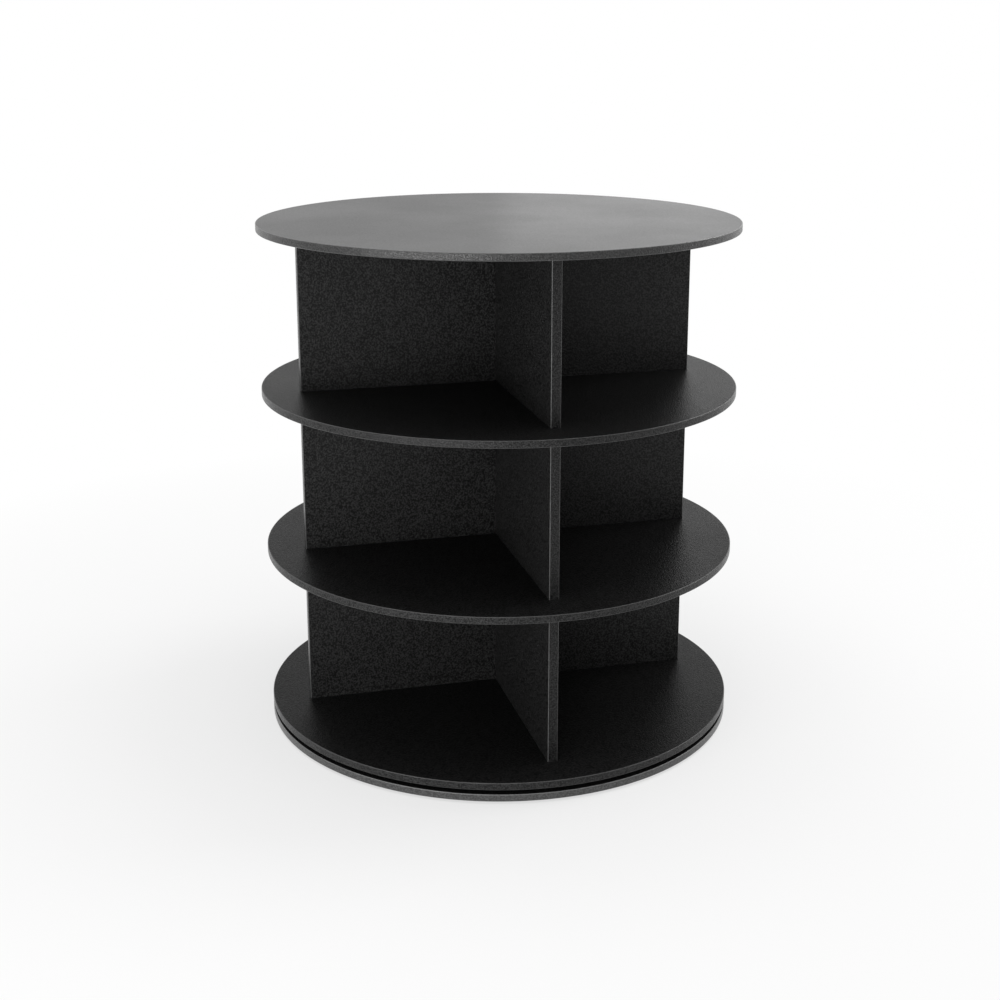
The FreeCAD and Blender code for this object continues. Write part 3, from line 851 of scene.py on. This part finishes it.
cast_zinc, tree, shader, place = finish_tree("cast_zinc", 0.42, 1.0)
pores = noise(tree, place, 0.7 * MM, 4, 0.6)
tree.links.new(blend_colours(tree, pores, (0.5, 0.5, 0.51), (0.68, 0.68, 0.7)),
               shader.inputs["Base Color"])
tree.links.new(spread(tree, pores, 0.34, 0.56), shader.inputs["Roughness"])
relief(tree, shader, pores, 0.03 * MM)
for tier in tiers:
    smooth_copy(tier + "_cam_drums", tier + "_cams", "tower", cast_zinc)


# ---- Cover caps --------------------------------------------------------------------------
# A domed cap of black plastic hides each cam. A cross under it is pressed into the cam's
# recess, and a small dimple in the middle is left by the mould's gate.

cap_radius = 8.5 * MM
cap_rim = 0.7 * MM
cap_crown = 1.5 * MM
cap_ease = 0.25 * MM
cap_ease_steps = 4
cap_dome_steps = 10
cap_dimple = 0.9 * MM
cap_dimple_depth = 0.1 * MM
plug_long, plug_wide, plug_deep = 3.9 * MM, 0.8 * MM, 1.5 * MM

cap_plastic, tree, shader, place = finish_tree("cap_plastic", 0.4)
moulded = noise(tree, place, 0.45 * MM, 2)
tree.links.new(blend_colours(tree, moulded, (0.018, 0.018, 0.019), (0.034, 0.034, 0.036)),
               shader.inputs["Base Color"])
tree.links.new(spread(tree, noise(tree, place, 5 * MM, 3), 0.34, 0.46),
               shader.inputs["Roughness"])
relief(tree, shader, moulded, 0.02 * MM)

rise = cap_crown - cap_rim
dome = (cap_radius ** 2 + rise ** 2) / (2 * rise)
cap_outline = [(0, 0), (cap_radius - 0.1 * MM, 0), (cap_radius, 0.1 * MM)]
for i in range(cap_ease_steps + 1):
    a = math.pi / 2 * i / cap_ease_steps
    cap_outline.append((cap_radius - cap_ease * (1 - math.cos(a)),
                        cap_rim - cap_ease * (1 - math.sin(a))))
for i in range(1, cap_dome_steps + 1):
    inwards = i / cap_dome_steps
    r = (cap_radius - cap_ease) * (1 - inwards) + cap_dimple * inwards
    cap_outline.append((r, cap_crown - dome + math.sqrt(dome ** 2 - r ** 2)))
cap_outline += [(cap_dimple * 0.8, cap_crown - cap_dimple_depth * 0.9),
                (0, cap_crown - cap_dimple_depth)]
one_cap = turned_piece("one_cap", cap_outline, 48)

cross = [(plug_long, -plug_wide), (plug_long, plug_wide), (plug_wide, plug_wide),
         (plug_wide, plug_long), (-plug_wide, plug_long), (-plug_wide, plug_wide),
         (-plug_long, plug_wide), (-plug_long, -plug_wide), (-plug_wide, -plug_wide),
         (-plug_wide, -plug_long), (plug_wide, -plug_long), (plug_wide, -plug_wide)]
plug_points = [(x, y, z) for z in (-plug_deep, 0.2 * MM) for x, y in cross]
sides = len(cross)
plug_faces = [tuple(range(sides - 1, -1, -1)), tuple(range(sides, 2 * sides))]
plug_faces += [(i, (i + 1) % sides, sides + (i + 1) % sides, sides + i)
               for i in range(sides)]
combined(one_cap, smooth_piece("plug", plug_points, plug_faces), "UNION")

for tier in tiers:
    low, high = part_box(tier + "_cam_caps")
    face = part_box(tier + "_long_divider")[1].y
    places = []
    for z in (low.z + cap_radius, high.z - cap_radius):
        places += [((bolt_circle, face, z), (-math.pi / 2, 0, 0)),
                   ((-bolt_circle, face, z), (-math.pi / 2, 0, 0)),
                   ((face, -bolt_circle, z), (0, math.pi / 2, 0)),
                   ((-face, bolt_circle, z), (0, -math.pi / 2, 0))]
    caps = set_on_marks(tier + "_cover_caps", one_cap, places, cap_plastic)
    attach(caps, "tower")
    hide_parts(tier + "_cam_caps")
bpy.data.objects.remove(one_cap)


# ---- Studio ------------------------------------------------------------------------------
# A plain pale floor that turns white further out, an even white surround, four soft lamps
# that the camera doesn't see, and the camera itself: to the left of the front, a little above
# the top disc and looking down.

floor_half = 6.0
floor_fade = (0.45, 1.3)                    # from here the floor pales, and here it is white
shadow_paper = (0.34, 0.34, 0.34, 1)
shadow_glow = 0.62
surround_light = (0.42, 0.42, 0.42)
camera_distance = 1.9
camera_height = 0.874
camera_azimuth = math.radians(-14.57)
camera_pitch = math.radians(14.506)         # downwards

floor_mesh = bpy.data.meshes.new("floor")
floor_mesh.from_pydata([(-floor_half, -floor_half, 0), (floor_half, -floor_half, 0),
                        (floor_half, floor_half, 0), (-floor_half, floor_half, 0)],
                       [], [(0, 1, 2, 3)])
floor = shown("floor", floor_mesh)
floor_white, tree, shader, place = finish_tree("floor_white", 0.9)
tree.nodes.remove(shader)
matt = node(tree, "ShaderNodeBsdfDiffuse", {"Color": (0.8, 0.8, 0.8, 1)})
paper = node(tree, "ShaderNodeBsdfDiffuse", {"Color": shadow_paper})
glow = node(tree, "ShaderNodeEmission", {"Color": (1, 1, 1, 1), "Strength": shadow_glow})
shaded = node(tree, "ShaderNodeAddShader", {0: paper.outputs[0], 1: glow.outputs[0]})
white = node(tree, "ShaderNodeEmission", {"Color": (1, 1, 1, 1), "Strength": 1.0})
away = node(tree, "ShaderNodeVectorMath", {0: place}, operation="LENGTH").outputs[1]
fade = spread(tree, away, 0.0, 1.0, *floor_fade)
seen = node(tree, "ShaderNodeMixShader", {0: fade, 1: shaded.outputs[0], 2: white.outputs[0]})


def background_rays(tree):
    """1 for the rays that show the background: camera, glossy and transmission."""
    rays = node(tree, "ShaderNodeLightPath").outputs
    either = maths(tree, "MAXIMUM", rays["Is Camera Ray"], rays["Is Glossy Ray"])
    return maths(tree, "MAXIMUM", either, rays["Is Transmission Ray"])


both = node(tree, "ShaderNodeMixShader",
            {0: background_rays(tree), 1: matt.outputs[0], 2: seen.outputs[0]})
tree.links.new(both.outputs[0], tree.nodes["Material Output"].inputs["Surface"])
floor_mesh.materials.append(floor_white)

surround = bpy.data.worlds.new("surround")
surround.use_nodes = True
tree = surround.node_tree
backdrop = tree.nodes["Background"]
backdrop.inputs["Strength"].default_value = 1.0
tree.links.new(blend_colours(tree, background_rays(tree), surround_light, (1, 1, 1)),
               backdrop.inputs["Color"])
bpy.context.scene.world = surround


def softbox(name, place, aim, width, height, power):
    """A rectangular soft lamp that points at the aim. The camera doesn't see it, so that it
    stays out of the other views."""
    light = bpy.data.lights.new(name, "AREA")
    light.shape = "RECTANGLE"
    light.size, light.size_y = width, height
    light.energy = power
    lamp = bpy.data.objects.new(name, light)
    lamp.location = place
    lamp.rotation_euler = (Vector(aim) - Vector(place)).to_track_quat("-Z", "Y").to_euler()
    lamp.visible_camera = False
    bpy.context.scene.collection.objects.link(lamp)


softbox("left_softbox", (-1.5, -1.5, 0.34), (0, 0, 0.34), 2.2, 0.6, 29)
softbox("right_softbox", (2.2, 0.3, 1.7), (0, 0, 0.32), 1.2, 1.0, 22)
softbox("rear_softbox", (1.84, 2.56, 1.15), (0, 0, 0.64), 2.4, 0.7, 3.0)
softbox("ceiling_softbox", (0, 0, 2.6), (0, 0, 0), 2.0, 2.0, 30)

bpy.context.scene.view_settings.view_transform = "Standard"

camera = bpy.data.objects.new("camera", bpy.data.cameras.new("camera"))
camera.location = (camera_distance * math.sin(camera_azimuth),
                   -camera_distance * math.cos(camera_azimuth), camera_height)
camera.rotation_euler = (math.pi / 2 - camera_pitch, 0, camera_azimuth)
camera.data.sensor_width = 36
camera.data.lens = 54.91
camera.data.shift_x = 0.0011
camera.data.shift_y = -0.08
bpy.context.scene.collection.objects.link(camera)
bpy.context.scene.camera = camera
